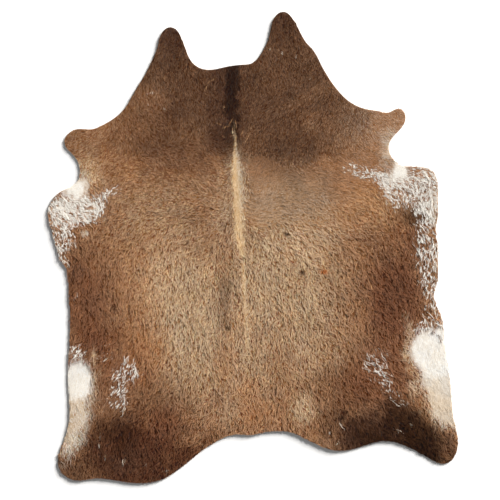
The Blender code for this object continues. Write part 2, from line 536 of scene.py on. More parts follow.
class CowhideShades(bpy.types.PropertyGroup):
    """The coat's shades."""

    white: hair_shade("White", 228, 223, 214, "Hair of the white patches")
    cream: hair_shade("Cream", 200, 178, 152, "Right edge of the pale line down the spine")
    beige: hair_shade("Beige", 206, 189, 168, "Hair of the lower legs and armpit rims")
    gold: hair_shade("Gold", 215, 181, 138, "The pale line down the spine")
    bright_white: hair_shade("Bright white", 235, 230, 221, "White flecks and the white of the right leg")
    pale_fawn: hair_shade("Pale fawn", 187, 154, 119, "Left of the back")
    fawn: hair_shade("Fawn", 184, 152, 120, "Fluff beside the pale line, and the right leg's rims")
    grey_fawn: hair_shade("Grey fawn", 175, 142, 109, "Right of the back")
    tan: hair_shade("Tan", 163, 121, 85, "Right elbow, and pale hairs on the neck")
    tan_brown: hair_shade("Tan brown", 150, 109, 78, "Ground colour of the coat")
    orange_tan: hair_shade("Orange tan", 168, 118, 80, "Left side and root of the tail")
    rust: hair_shade("Rust", 150, 84, 44, "Rusty spot on the back")
    cocoa: hair_shade("Cocoa", 118, 83, 59, "Outer shoulders, left withers and right flank's front")
    brown: hair_shade("Brown", 98, 69, 50, "Neck and shoulders")
    chestnut: hair_shade("Chestnut", 107, 68, 48, "Flanks and thighs")
    taupe: hair_shade("Taupe", 150, 123, 98, "Behind the right shoulder")
    bay: hair_shade("Bay", 77, 46, 32, "Rump")
    umber: hair_shade("Umber", 74, 50, 37, "Neck tabs and the mane's sides")
    black_brown: hair_shade("Black brown", 44, 28, 19, "Mane and the middle of the rump")


class CowhideSizes(bpy.types.PropertyGroup):
    """The hide's sizes."""

    leather: FloatProperty(
        name="Leather thickness", description="Thickness of the tanned skin",
        default=2.4 * MM, min=0.5 * MM, max=6 * MM, unit="LENGTH",
    )
    neck_hair: FloatProperty(
        name="Neck hair length", description="Length of the hair on the neck and shoulders",
        default=11 * MM, min=3 * MM, max=60 * MM, unit="LENGTH",
    )
    body_hair: FloatProperty(
        name="Body hair length", description="Length of the hair on the back, flanks and rump",
        default=17 * MM, min=3 * MM, max=60 * MM, unit="LENGTH",
    )
    edge_lift: FloatProperty(
        name="Edge lift", description="How far the cut edge rises off the floor where it curls most",
        default=5.0 * MM, min=0.0, max=10 * MM, unit="LENGTH",
    )


class CowhideStudio(bpy.types.PropertyGroup):
    """The studio's light."""

    key: FloatProperty(
        name="Key light",
        description="How brightly the soft light beside the right shoulder lights the floor",
        default=1.15, min=0.0, soft_max=3.0,
    )
    key_height: FloatProperty(
        name="Key height", description="Angle of the key light above the floor",
        default=radians(14), min=radians(5), max=radians(90), unit="ROTATION",
    )
    fill: FloatProperty(
        name="Fill light", description="How brightly the light from all round lights the floor",
        default=0.22, min=0.0, soft_max=3.0,
    )


class CowhideSettings(bpy.types.PropertyGroup):
    """All of the rug's settings."""

    shades: PointerProperty(type=CowhideShades)
    sizes: PointerProperty(type=CowhideSizes)
    studio: PointerProperty(type=CowhideStudio)


# Measuring the hide


def cut_edge():
    """The hide's cut edge, counterclockwise from above: the rim of the CAD node's upper face."""
    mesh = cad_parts[HIDE_NODE].data
    places = [tuple(round(c, 6) for c in vertex.co) for vertex in mesh.vertices]
    top = max(place[2] for place in places)
    sides = set()
    for face in mesh.polygons:
        corners = [places[i] for i in face.vertices]
        if min(corner[2] for corner in corners) > top - MM:
            sides.update(zip(corners, corners[1:] + corners[:1]))
    following = {start: end for start, end in sides if (end, start) not in sides}
    loop = [min(following)]
    while following[loop[-1]] != loop[0]:
        loop.append(following[loop[-1]])
    return np.array(loop)[:, :2]


class Grid:
    """A fine grid over the hide. Values kept at its points are read back at any place."""

    def __init__(self, loop, step, margin):
        self.step = step
        self.low = loop.min(0) - margin
        columns, rows = np.ceil((loop.max(0) + margin - self.low) / step).astype(int) + 1
        column, row = np.meshgrid(np.arange(columns), np.arange(rows))
        self.x = self.low[0] + step * column
        self.y = self.low[1] + step * row

    def read(self, values, x, y):
        """Blend the values of the four points around each place."""
        u = np.clip((x - self.low[0]) / self.step, 0, values.shape[1] - 1.001)
        v = np.clip((y - self.low[1]) / self.step, 0, values.shape[0] - 1.001)
        return bilinear(values, u, v, u - np.floor(u), v - np.floor(v))

    def nearest(self, values, x, y):
        """Take the value of the point nearest to each place."""
        u = np.clip((x - self.low[0]) / self.step + 0.5, 0, values.shape[1] - 1).astype(np.int32)
        v = np.clip((y - self.low[1]) / self.step + 0.5, 0, values.shape[0] - 1).astype(np.int32)
        return values[v, u]


class EdgeDistance:
    """How far inside the cut edge a place lies, in metres, negative outside."""

    STEP = 6 * MM
    MARGIN = 30 * MM

    def __init__(self, loop):
        ends = np.roll(loop, -1, axis=0)
        side = ends - loop
        square = (side ** 2).sum(1)
        self.grid = Grid(loop, self.STEP, self.MARGIN)
        self.values = np.empty(self.grid.x.shape)
        for row, (xs, ys) in enumerate(zip(self.grid.x, self.grid.y)):
            y = ys[0]
            offset = np.stack(np.broadcast_arrays(xs[:, None] - loop[:, 0], y - loop[:, 1]), -1)
            share = np.clip((offset * side).sum(-1) / square, 0, 1)
            gap = np.sqrt(((offset - share[..., None] * side) ** 2).sum(-1).min(1))
            met = (loop[:, 1] > y) != (ends[:, 1] > y)
            crossings = loop[met, 0] + (y - loop[met, 1]) / side[met, 1] * side[met, 0]
            inside = np.searchsorted(np.sort(crossings), xs) % 2 == 1
            self.values[row] = np.where(inside, gap, -gap)

    def __call__(self, x, y):
        return self.grid.read(self.values, x, y)


def bilinear(values, u, v, right, up):
    """Blend the four neighbours of each place (u, v) of a table, right and up being its shares."""
    i = np.floor(u).astype(int) % values.shape[1]
    j = np.floor(v).astype(int) % values.shape[0]
    after_i = (i + 1) % values.shape[1]
    after_j = (j + 1) % values.shape[0]
    lower = values[j, i] * (1 - right) + values[j, after_i] * right
    upper = values[after_j, i] * (1 - right) + values[after_j, after_i] * right
    return lower * (1 - up) + upper * up


class Mottle:
    """Smooth random values, about -1 to 1, that change over the given distance."""

    CELLS = 256

    def __init__(self, rng, distance):
        self.distance = distance
        self.values = rng.uniform(-1, 1, (self.CELLS, self.CELLS))

    def __call__(self, x, y):
        u = x / self.distance
        v = y / self.distance
        right = smooth_step(u - np.floor(u))
        up = smooth_step(v - np.floor(v))
        return bilinear(self.values, u, v, right, up)


class Layers:
    """Smooth random values over several distances, each with its own strength, added up."""

    def __init__(self, rng, layers):
        self.layers = [(Mottle(rng, distance), strength) for distance, strength in layers]

    def __call__(self, x, y):
        return sum(strength * mottle(x, y) for mottle, strength in self.layers)


def smooth_step(share):
    """Rise softly from 0 to 1."""
    share = np.clip(share, 0, 1)
    return share * share * (3 - 2 * share)


# The coat's pattern

# Small marks and strands have faded out at this many times their size
MARK_REACH = 1.5
STRAND_HALF_WIDTH = 1.9 * MM
# The edge of a marking wanders by at least this share, and more the softer it is
LEAST_WANDER = 0.4
# Hair evens out its own shadows from this lightness on, over this range
CALM_FROM = 0.3
CALM_RANGE = 0.25


def seen_from(patch, x, y):
    """Places as seen from a patch: how far along its own width and its own length."""
    turn = radians(patch.turn)
    right = x - across(patch.column)
    up = y - along(patch.row)
    return right * cos(turn) + up * sin(turn), up * cos(turn) - right * sin(turn)


def patch_weight(patch, x, y, ragged):
    """How strongly a marking or roan patch shows at each place, from 0 to 1."""
    right, up = seen_from(patch, x, y)
    off = np.hypot(right / (patch.half_width * PIXEL), up / (patch.half_length * PIXEL))
    stray = (LEAST_WANDER + patch.softness) * ragged / min(patch.half_width, patch.half_length)
    return smooth_step((1 + patch.softness - off - stray) / (2 * patch.softness))


def spot_weight(spot, x, y):
    """1 inside a small mark, 0 outside."""
    right = (x - across(spot.column)) / (spot.half_width * PIXEL)
    up = (y - along(spot.row)) / (spot.half_length * PIXEL)
    return smooth_step(MARK_REACH - np.hypot(right, up))


def strand_weight(strand, x, y):
    """1 on a few hairs of another shade, 0 beside them."""
    ahead, aside = seen_from(strand, x, y)
    off = np.hypot(ahead / (strand.half_length * PIXEL), aside / STRAND_HALF_WIDTH)
    return smooth_step(MARK_REACH - off)


def calm(colour):
    """How far hair of each colour evens out its own shadows: 0 in brown hair, 1 in white."""
    return smooth_step((colour.mean(1) - CALM_FROM) / CALM_RANGE)


class CoatPattern:
    """The colour of the coat at any place of the hide."""

    # Over which distances, and how strongly over each, edges wander and clouds change
    RAGGED_LAYERS = ((80 * MM, 1.0), (34 * MM, 0.8), (14 * MM, 0.6))
    CLOUD_LAYERS = ((110 * MM, 0.05), (42 * MM, 0.08), (19 * MM, 0.06))
    RAGGED_PIXELS = 3.2
    # How much further than the ragged edge of a marking single hairs stray, in pixels
    HAIR_STRAY = 2.0
    # Clouds of warmer and cooler hair
    WARMTH = np.array((0.03, 0.0, -0.045))
    WARMTH_LENGTH = 55 * MM
    # The stripe's soft edge, as shares of its half width, and how far hairs stray over it
    STRIPE_REACH = 1.4
    STRIPE_SOFTNESS = 0.8
    STRIPE_STRAY = 0.5
    THINNEST_STRIPE = 0.3
    # How much of the clouds white hair evens out
    EVEN_CLOUDS = 0.8
    SPOT_STRENGTH = 0.9
    STRAND_STRENGTH = 0.8

    def __init__(self, shades, rng):
        self.shades = {
            name.replace("_", " "): linear(np.array(getattr(shades, name)))
            for name in CowhideShades.__annotations__
        }
        self.ragged = Layers(rng, self.RAGGED_LAYERS)
        self.clouds = Layers(rng, self.CLOUD_LAYERS)
        self.warmth = Mottle(rng, self.WARMTH_LENGTH)

    def raggedness(self, x, y):
        """How far the edges of the markings wander, in pixels."""
        return self.RAGGED_PIXELS * self.ragged(x, y)

    def white_share(self, x, y):
        """The share of white tufts."""
        ragged = self.raggedness(x, y)
        brown = np.ones_like(x)
        for patch in ROAN:
            brown *= 1 - patch.share * patch_weight(patch, x, y, ragged)
        return 1 - brown

    def stripe(self, x, y, scatter):
        """The weight of the pale line down the spine, and how creamy it is on its right."""
        rows = ORIGIN_ROW - y / PIXEL
        table = np.array(SPINE_STRIPE)
        middle, half_width, strength, cream = (
            np.interp(rows, table[:, 0], table[:, i], left=0, right=0) for i in range(1, 5)
        )
        column = ORIGIN_COLUMN + x / PIXEL
        off = (column - middle) / np.maximum(half_width, self.THINNEST_STRIPE)
        inside = (self.STRIPE_REACH - np.abs(off) + scatter) / self.STRIPE_SOFTNESS
        return strength * smooth_step(inside), cream * smooth_step(0.5 + off)

    def clouded(self, colour, x, y):
        """The colour with the coat's soft clouds, which hardly show in white hair."""
        still = 1 - self.EVEN_CLOUDS * calm(colour)
        light = 1 + still * self.clouds(x, y)
        return colour * light[:, None] * (1 + self.WARMTH * self.warmth(x, y)[:, None])

    def colours(self, x, y, scatter):
        """Linear colours. Scatter is how far each hair strays over a marking's edge, about -1 to 1."""
        ragged = self.raggedness(x, y) + self.HAIR_STRAY * scatter
        colour = np.tile(self.shades["tan brown"], (len(x), 1))
        for marking in MARKINGS:
            weight = marking.strength * patch_weight(marking, x, y, ragged)
            colour = blend(colour, self.shades[marking.shade], weight)
        colour = self.clouded(colour, x, y)
        weight, cream = self.stripe(x, y, self.STRIPE_STRAY * scatter)
        pale = blend(np.tile(self.shades["gold"], (len(x), 1)), self.shades["cream"], cream)
        colour = blend(colour, pale, weight)
        for spot in SPOTS:
            weight = self.SPOT_STRENGTH * spot_weight(spot, x, y)
            colour = blend(colour, self.shades[spot.shade], weight)
        for strand in STRANDS:
            weight = self.STRAND_STRENGTH * strand_weight(strand, x, y)
            colour = blend(colour, self.shades[strand.shade], weight)
        return colour


def dyed_for_light(colour, lean, evened):
    """The colour that the hair is given, from the colour that it shows in the studio's light, with painted
    shade where it lies away from the key light.

    Lean is 1 where the hair lies towards the key light, and -1 where it lies away from it. Evened is 0
    in brown hair and 1 in white.
    """
    share = COAT_SHARE + WHITE_SHARE * evened
    # Painted shade: hair lying away from the key light is given a darker colour, as that light shows it
    # lighter
    share -= LEAN_SHADE * COAT_SHARE * (1 - WHITE_LEAN * evened) * np.minimum(lean, 0)
    own = np.maximum((colour - COAT_GLOSS) / share[:, None], DARKEST)
    return own * np.minimum(1, BRIGHTEST / own.max(1))[:, None]


def blend(colour, other, weight):
    """Move each colour towards another by its own weight."""
    return colour + (other - colour) * weight[:, None]


def linear(colour):
    """A colour as the photograph shows it, in the linear values that light adds up in."""
    return np.where(colour <= 0.04045, colour / 12.92, ((colour + 0.055) / 1.055) ** 2.4)


# Rows of the lay's table nearer than this blend softly
LAY_REACH = 40 * MM


def lay_heading(x, y):
    """The heading of the hair's tips, in radians, blended from the nearest rows of the table."""
    east = np.zeros_like(x)
    north = np.zeros_like(x)
    for lay in LAY:
        gap = (x - across(lay.column)) ** 2 + (y - along(lay.row)) ** 2
        weight = 1 / (gap + LAY_REACH ** 2) ** 2
        east += weight * cos(radians(lay.heading))
        north += weight * sin(radians(lay.heading))
    return np.arctan2(north, east)


class Lie(Grid):
    """The lay of the hair over the whole hide, with the small swirls that it has."""

    STEP = 2 * MM
    MARGIN = 10 * MM
    # The swirls' distances and turns
    SWIRL_LAYERS = ((70 * MM, radians(14)), (10 * MM, radians(48)))
    # A streak is followed in strides of this share of its width
    STRIDE_SHARE = 0.6
    # Every so many grid points, one is ranked to spread the streaks' values evenly
    RANKED_STEP = 7

    def __init__(self, loop, rng):
        super().__init__(loop, self.STEP, self.MARGIN)
        swirl = Layers(rng, self.SWIRL_LAYERS)
        heading = lay_heading(self.x, self.y)
        self.lean = np.cos(heading - KEY_AZIMUTH)
        heading += swirl(self.x, self.y)
        self.east = np.cos(heading)
        self.north = np.sin(heading)

    def heading(self, x, y):
        """The heading of the hair's tips at any places, in radians."""
        return np.arctan2(self.read(self.north, x, y), self.read(self.east, x, y))

    def streaks(self, rng, width, length):
        """A grid of values spread evenly from 0 to 1, in streaks of hair that follow the lay."""
        grain = Mottle(rng, width)(self.x, self.y)
        total = grain.copy()
        stride = self.STRIDE_SHARE * width
        for way in (1, -1):
            x, y = self.x, self.y
            for _ in range(round(0.5 * length / stride)):
                east, north = self.nearest(self.east, x, y), self.nearest(self.north, x, y)
                x = x + way * stride * east
                y = y + way * stride * north
                total += self.nearest(grain, x, y)
        ranked = np.sort(total[::self.RANKED_STEP, ::self.RANKED_STEP].ravel())
        return np.searchsorted(ranked, total) / len(ranked)


# The hide's surface


class HideSurface:
    """The hair side of the skin: its height above the floor."""

    # The edge curls up over this distance, by at least this share of the whole
    EDGE_REACH = 120 * MM
    LEAST_CURL = 0.5
    CURL_LENGTH = 160 * MM
    # The skin's own gentle bumps
    RELIEF = 0.4 * MM
    RELIEF_LENGTH = 45 * MM
    # From here to the right the hide comes to lie flatter, by this share
    FLATTER_FROM = 400 * MM
    FLATTER_OVER = 400 * MM
    FLATTER_SHARE = 0.7

    def __init__(self, sizes, edge_distance, rng):
        self.sizes = sizes
        self.edge_distance = edge_distance
        self.curl = Mottle(rng, self.CURL_LENGTH)
        self.relief = Mottle(rng, self.RELIEF_LENGTH)

    def lift(self, x, y):
        """How far the skin has curled off the floor."""
        near_edge = smooth_step(1 - self.edge_distance(x, y) / self.EDGE_REACH)
        curl = self.LEAST_CURL + (1 - self.LEAST_CURL) * smooth_step(0.5 + self.curl(x, y))
        flat = self.FLATTER_SHARE * smooth_step((x - self.FLATTER_FROM) / self.FLATTER_OVER)
        return self.sizes.edge_lift * near_edge * curl * (1 - flat)

    def height(self, x, y):
        """How high the hair side lies above the floor."""
        return self.sizes.leather + self.lift(x, y) + self.RELIEF * self.relief(x, y)


# How far points of a grid are moved at random, as a share of their spacing
JITTER = 0.45


def jittered_grid(low, high, spacing, rng):
    """Points of a staggered grid, each moved at random within its cell."""
    columns = int((high[0] - low[0]) / spacing) + 1
    rows = int((high[1] - low[1]) / spacing) + 1
    column, row = np.meshgrid(np.arange(columns), np.arange(rows))
    x = low[0] + spacing * (column + 0.5 * (row % 2) + rng.uniform(-JITTER, JITTER, column.shape))
    y = low[1] + spacing * (row + rng.uniform(-JITTER, JITTER, column.shape))
    return x.ravel(), y.ravel()


# The skin's inner points keep this share of their spacing away from its edge
CLEAR_OF_EDGE = 0.8
# Points nearer to each other than this would be joined
SAME_PLACE = 1e-7


def filled(loop, spacing, edge_distance, rng):
    """Triangles that fill a loop, with its own points first."""
    x, y = jittered_grid(loop.min(0), loop.max(0), spacing, rng)
    inner = edge_distance(x, y) > CLEAR_OF_EDGE * spacing
    points = [Vector(p) for p in loop] + [Vector(p) for p in zip(x[inner], y[inner])]
    count = len(loop)
    rim = [(i, (i + 1) % count) for i in range(count)]
    places, _, faces, *_ = delaunay_2d_cdt(points, rim, [], 0, SAME_PLACE, False)
    if len(places) != len(points):
        raise RuntimeError("the skin's points moved while they were joined up")
    places = np.array([tuple(p) for p in places])
    faces = np.array(faces)
    first, second, third = (places[faces[:, i]] for i in range(3))
    clockwise = np.cross(second - first, third - first) < 0
    faces[clockwise] = faces[clockwise][:, ::-1]
    # Outside the loop, three of its own points are met in falling order
    rising = (faces < np.roll(faces, -1, axis=1)).sum(1) == 2
    return places, faces[rising | (faces >= count).any(1)]


def inset(loop, distance):
    """The loop moved inwards. It runs counterclockwise."""
    ahead = np.roll(loop, -1, axis=0) - np.roll(loop, 1, axis=0)
    ahead /= np.linalg.norm(ahead, axis=1)[:, None]
    return loop + distance * np.stack([-ahead[:, 1], ahead[:, 0]], 1)


def mesh_piece(name, points, faces, materials):
    """An object from arrays: faces is a list of arrays, each of faces with the same number of corners."""
    mesh = bpy.data.meshes.new(name)
    corners = np.concatenate([f.ravel() for f in faces])
    sizes = np.concatenate([np.full(len(f), f.shape[1]) for f in faces])
    mesh.vertices.add(len(points))
    mesh.vertices.foreach_set("co", np.asarray(points, np.float32).ravel())
    mesh.loops.add(len(corners))
    mesh.loops.foreach_set("vertex_index", corners.astype(np.int32))
    mesh.polygons.add(len(sizes))
    mesh.polygons.foreach_set("loop_start", (np.cumsum(sizes) - sizes).astype(np.int32))
    mesh.polygons.foreach_set("use_smooth", np.ones(len(sizes), bool))
    for material in materials:
        mesh.materials.append(material)
    mesh.update(calc_edges=True)
    piece = bpy.data.objects.new(name, mesh)
    bpy.context.scene.collection.objects.link(piece)
    return piece


# How much of a piece's map is left free on each side
MAP_MARGIN = 0.002


def lay_flat_map(piece):
    """A UV map seen straight from above, stretched over the piece's own box."""
    mesh = piece.data
    places = np.empty(len(mesh.vertices) * 3, np.float32)
    mesh.vertices.foreach_get("co", places)
    places = places.reshape(-1, 3)[:, :2]
    low = places.min(0)
    share = MAP_MARGIN + (1 - 2 * MAP_MARGIN) * (places - low) / (places.max(0) - low)
    corners = np.empty(len(mesh.loops), np.int32)
    mesh.loops.foreach_get("vertex_index", corners)
    mesh.uv_layers.new(name="OFBake").data.foreach_set("uv", share[corners].ravel())


def store(piece, name, kind, values):
    """Keep one value for each point, for the material to read."""
    field = {"FLOAT_VECTOR": "vector", "FLOAT_COLOR": "color"}[kind]
    layer = piece.data.attributes.new(name, kind, "POINT")
    layer.data.foreach_set(field, np.asarray(values, np.float32).ravel())


def with_alpha(colour):
    """Colours with the fourth value that a colour layer holds."""
    return np.concatenate([colour, np.ones((len(colour), 1))], 1)


# The spacing of the skin's points, on its hair side and its underside
SKIN_TOP_GRID = 9.5 * MM
SKIN_UNDER_GRID = 16 * MM
# The cut edge bulges out at this share of the leather's thickness, and its hair side is drawn in
CUT_BULGE = 0.6 * MM
CUT_BULGE_HEIGHT = 0.55
# How far the skin turns white where white tufts grow, and how much light it gets under brown hair
WHITE_SKIN = 0.8
SHADED_SKIN = 0.6


def build_skin(settings, hide):
    """The tanned skin: hair side, cut edge and suede underside, closed all round."""
    loop, surface = hide.loop, hide.surface
    wall = inset(loop, -CUT_BULGE)
    top, top_faces = filled(inset(loop, CUT_BULGE), SKIN_TOP_GRID, hide.edge_distance, hide.rng)
    under, under_faces = filled(loop, SKIN_UNDER_GRID, hide.edge_distance, hide.rng)
    points = np.concatenate([
        np.column_stack([under, surface.lift(*under.T)]),
        np.column_stack([wall, CUT_BULGE_HEIGHT * settings.sizes.leather + surface.lift(*wall.T)]),
        np.column_stack([top, surface.height(*top.T)]),
    ])
    count = len(loop)
    first_wall = len(under)
    first_top = first_wall + count
    step = np.arange(count)
    after = (step + 1) % count
    lower = np.column_stack([step, after, first_wall + after, first_wall + step])
    upper = np.column_stack([first_wall + step, first_wall + after, first_top + after, first_top + step])
    piece = mesh_piece(
        "skin", points, [top_faces + first_top, under_faces[:, ::-1], lower, upper],
        [undercoat_finish(), suede_finish()],
    )
    slots = np.concatenate([
        np.zeros(len(top_faces), int), np.ones(len(under_faces) + count, int), np.zeros(count, int),
    ])
    piece.data.polygons.foreach_set("material_index", slots.astype(np.int32))
    x, y = points[:, 0], points[:, 1]
    colour = hide.pattern.colours(x, y, np.zeros(len(points)))
    colour = blend(colour, hide.pattern.shades["white"], WHITE_SKIN * hide.pattern.white_share(x, y))
    colour *= SHADED_SKIN + (1 - SHADED_SKIN) * calm(colour)[:, None]
    store(piece, "coat", "FLOAT_COLOR", with_alpha(colour))
    lay_flat_map(piece)
    return piece


class Tufts:
    """Tufts of hair on a jittered grid, each with random traits from 0 to 1.

    The traits are for its turn, its length, its tone, one that isn't used, and how far it strays over
    a marking's edge.
    """

    TRAITS = 5
    # The grid reaches this far on each side of the origin
    REACH = 1.6
    # Where in its cell a tuft's middle can be, as shares of the spacing
    WITHIN_CELL = (0.1, 0.9)

    def __init__(self, rng, spacing):
        self.spacing = spacing
        side = int(2 * self.REACH / spacing)
        self.places = rng.uniform(*self.WITHIN_CELL, (side, side, 2))
        self.traits = rng.uniform(0, 1, (side, side, self.TRAITS))

    def nearest(self, x, y):
        """The middle of each place's own tuft, its traits, and how far off its middle the place is."""
        u = (x + self.REACH) / self.spacing
        v = (y + self.REACH) / self.spacing
        own_u = np.floor(u).astype(int)
        own_v = np.floor(v).astype(int)
        least = np.full(len(x), np.inf)
        found = np.zeros((len(x), 2), int)
        for step_v in (-1, 0, 1):
            for step_u in (-1, 0, 1):
                place = self.places[own_v + step_v, own_u + step_u]
                gap = np.hypot(own_u + step_u + place[:, 0] - u, own_v + step_v + place[:, 1] - v)
                closer = gap < least
                least[closer] = gap[closer]
                found[closer] = np.column_stack([own_v + step_v, own_u + step_u])[closer]
        cells = (found[:, 0], found[:, 1])
        middle = (found[:, ::-1] + self.places[cells]) * self.spacing - self.REACH
        return middle.T, self.traits[cells].T, least


def long_coat_share(x, y):
    """0 where all hair is short, 1 where all of it is long."""
    row = ORIGIN_ROW - y / PIXEL
    return smooth_step((row - SHORT_COAT_ROW) / (LONG_COAT_ROW - SHORT_COAT_ROW))


class Locks:
    """One kind of hair. Each lock runs from its root to its own place at its tuft's tip."""

    # Roots are sown this far around the hide, and kept this far outside the cut edge
    SOWN_AROUND = 2 * MM
    KEPT_OUTSIDE = 1.2 * MM
    # The shortest tuft's length over the coat's, and how much more the longest has
    LEAST_LENGTH = 0.7
    MORE_LENGTH = 0.6
    # How far single locks differ from their tuft, in length and at the tip
    LENGTH_STRAY = 0.15
    TIP_STRAY = 0.8 * MM

    # How far tufts, and single locks among them, stray over a marking's edge
    TUFT_SCATTER = 0.7
    LOCK_SCATTER = 0.3
    # How far single locks stray over a white fleck's edge, and how soon flecks set in
    FLECK_STRAY = 0.07
    FLECK_ONSET = 12
    # Flecks turn from beige to white over this range of the share of white hair
    BEIGE_UP_TO = 0.02
    BEIGE_RANGE = 0.25
    # Below this value the gaps between the streaks get painted shade
    GAP_BELOW = -0.45
    GAP_RANGE = 0.4
    PAINTED_GAP_SHADE = 0.5
    # Hair is pale from this lightness on, and streaks show less in it
    PALE_FROM = 0.07
    PALE_RANGE = 0.15
    DARK_STREAKS = 1.07
    LESS_IN_PALE = 0.4
    # Tufts differ in tone, and get painted shade towards their rim
    TUFT_TONE = 0.05
    TUFT_RIM = 0.75
    PAINTED_RIM_SHADE = 0.05
    # White hair lets light through, so its tufts differ less, and so do those that lean to the light
    EVEN_WHITE = 0.93
    EVEN_LEANING = 0.7
    LEANING_FROM = 0.3
    # How strongly painted warm shade shows, darker locks redder and lighter ones bluer, in dark hair and
    # more in pale
    DARK_WARMTH = 0.6
    MORE_WARMTH = 0.4
    TONE_LIMITS = (0.2, 1.9)

    # The streaks' slope is taken this far on each side, and steepened
    SLOPE_REACH = 2 * MM
    SLOPE_STRENGTH = 1.4
    # What makes a tuft's ridge: its dome, which ends in a hollow, and the streaks
    DOME_RIDGE = 0.5
    HOLLOW = -0.3
    STREAK_RIDGE = 0.7
    # White patches lie flatter, white flecks stand higher, and single locks differ in height
    FLAT_HEIGHT = 0.85
    FLAT_RELIEF = 0.9
    FLAT_FACING = 0.8
    HEIGHT_STRAY = 0.15
    FLECK_RISE = 0.7 * MM
    # How single locks differ in roll, width and curl
    ROLL_STRAY = radians(8)
    WIDTH_RANGE = (0.75, 1.25)
    CURL_STRAY = 0.5
    # From root to tip: how high a lock stands, and how wide it is
    RISE = ((0, 0.35, 0.7, 1), (-0.1, 0.9, 1.0, 0.7))
    TAPER = ((0, 0.3, 0.7, 1), (0.75, 1.0, 0.75, 0.0))
    # No point of the coat lies lower than this
    LOWEST = 0.5 * MM

    def __init__(self, growth, settings, hide):
        self.growth = growth
        self.hide = hide
        self.rng = hide.rng
        self.streaks = hide.streaks[growth.name]
        self.plant()
        self.comb(settings.sizes)
        self.dye()
        self.shape()

    def plant(self):
        """Sow the roots and find each one's tuft."""
        growth, loop = self.growth, self.hide.loop
        low, high = loop.min(0) - self.SOWN_AROUND, loop.max(0) + self.SOWN_AROUND
        x, y = jittered_grid(low, high, growth.root_spacing, self.rng)
        wanted = long_coat_share(x, y)
        if not growth.long:
            wanted = 1 - wanted
        edge_gap = self.hide.edge_distance(x, y)
        kept = (edge_gap > -self.KEPT_OUTSIDE) & (self.rng.uniform(0, 1, len(x)) < wanted)
        self.root = np.stack([x[kept], y[kept]])
        self.edge_gap = edge_gap[kept]
        self.count = len(self.edge_gap)
        self.tuft, traits, self.off = Tufts(self.rng, growth.tuft_spacing).nearest(*self.root)
        self.tuft_turn, self.tuft_length, self.tuft_tone, _, self.tuft_stray = traits

    def comb(self, sizes):
        """Lay each lock with its tuft, and trim it at the cut edge."""
        growth, hide = self.growth, self.hide
        length = sizes.neck_hair + (sizes.body_hair - sizes.neck_hair) * long_coat_share(*self.root)
        length = growth.stretch * length * (self.LEAST_LENGTH + self.MORE_LENGTH * self.tuft_length)
        heading = hide.lie.heading(*self.tuft) + growth.tangle * (2 * self.tuft_turn - 1)
        way = np.stack([np.cos(heading), np.sin(heading)])
        # Each lock's own length, right and up at the tip, height and tone
        own = self.rng.normal(0, 1, (5, self.count))
        self.own_height, self.own_tone = own[3:]
        reach = length * (1 + self.LENGTH_STRAY * own[0])
        tip = self.tuft + reach * way + growth.gather * (self.root - self.tuft) + self.TIP_STRAY * own[1:3]
        tip_gap = hide.edge_distance(*tip)
        spill = tip_gap < -OVERHANG
        cut = np.ones(self.count)
        cut[spill] = (self.edge_gap[spill] + OVERHANG) / (self.edge_gap[spill] - tip_gap[spill])
        self.run = (tip - self.root) * cut
        ahead = self.run / np.hypot(*self.run)
        self.sideways = np.stack([-ahead[1], ahead[0]])
        self.middle = self.root + 0.5 * self.run
        self.tuft_middle = self.tuft + 0.5 * length.mean() * way

    def dye(self):
        """Colour each lock by the pattern and by the streaks that it lies in, with painted shade in the
        gaps between streaks and at its tuft's rim.
        """
        growth, hide = self.growth, self.hide
        scatter = (2 * self.tuft_stray - 1) * self.TUFT_SCATTER
        scatter += self.rng.normal(0, self.LOCK_SCATTER, self.count)
        colour = hide.pattern.colours(*self.middle, scatter)
        self.flat = calm(colour)
        colour = self.flecked(colour)
        evened = calm(colour)
        lean = hide.lie.read(hide.lie.lean, *self.middle)
        self.streak = 2 * hide.lie.read(self.streaks, *self.middle) - 1
        broad = 2 * hide.lie.read(hide.broad_streaks, *self.middle) - 1
        # Painted shade in the dark gaps between streaks
        gap = smooth_step((self.GAP_BELOW - self.streak) / self.GAP_RANGE)
        pale = np.clip((colour.mean(1) - self.PALE_FROM) / self.PALE_RANGE, 0, 1)
        # Streaks: partly the hair's own tone, partly painted shade where the coat lies low
        tone = growth.streak_tone * (self.DARK_STREAKS - self.LESS_IN_PALE * pale)
        tone *= self.streak - self.PAINTED_GAP_SHADE * gap
        # Painted shade towards the rim of each lock's tuft
        tone -= self.PAINTED_RIM_SHADE * np.clip(self.off / self.TUFT_RIM, 0, 1) ** 2
        lock_tone = LOCK_TONE * growth.streak_tone * self.own_tone
        tone += BROAD_STREAK_TONE * broad + self.TUFT_TONE * (2 * self.tuft_tone - 1) + lock_tone
        usual = tone.mean()
        tone += growth.paleness
        leaning = np.clip(lean + self.LEANING_FROM, 0, 1)
        shown = (1 - self.EVEN_WHITE * evened) * (1 - self.EVEN_LEANING * leaning)
        # Painted warm shade: darker locks are made redder and lighter ones bluer
        warmth = (tone - usual) * (self.DARK_WARMTH + self.MORE_WARMTH * pale) * (1 - self.white)
        toned = 1 + shown[:, None] * (tone[:, None] + warmth[:, None] * PAINTED_SHADE_WARMTH)
        self.colours = dyed_for_light(colour * np.clip(toned, *self.TONE_LIMITS), lean, evened)

    def flecked(self, colour):
        """The colour with white hair, which grows in flecks that follow the lay."""
        hide = self.hide
        share = hide.pattern.white_share(*self.middle)
        fleck = hide.lie.read(hide.flecks, *self.tuft_middle)
        fleck += self.rng.normal(0, self.FLECK_STRAY, self.count)
        self.white = smooth_step((share - fleck) / FLECK_SOFTNESS + 0.5)
        self.white *= np.clip(self.FLECK_ONSET * share, 0, 1)
        beige = np.tile(hide.pattern.shades["beige"], (self.count, 1))
        fullness = np.clip((share - self.BEIGE_UP_TO) / self.BEIGE_RANGE, 0, 1)
        return blend(colour, blend(beige, hide.pattern.shades["bright white"], fullness), self.white)

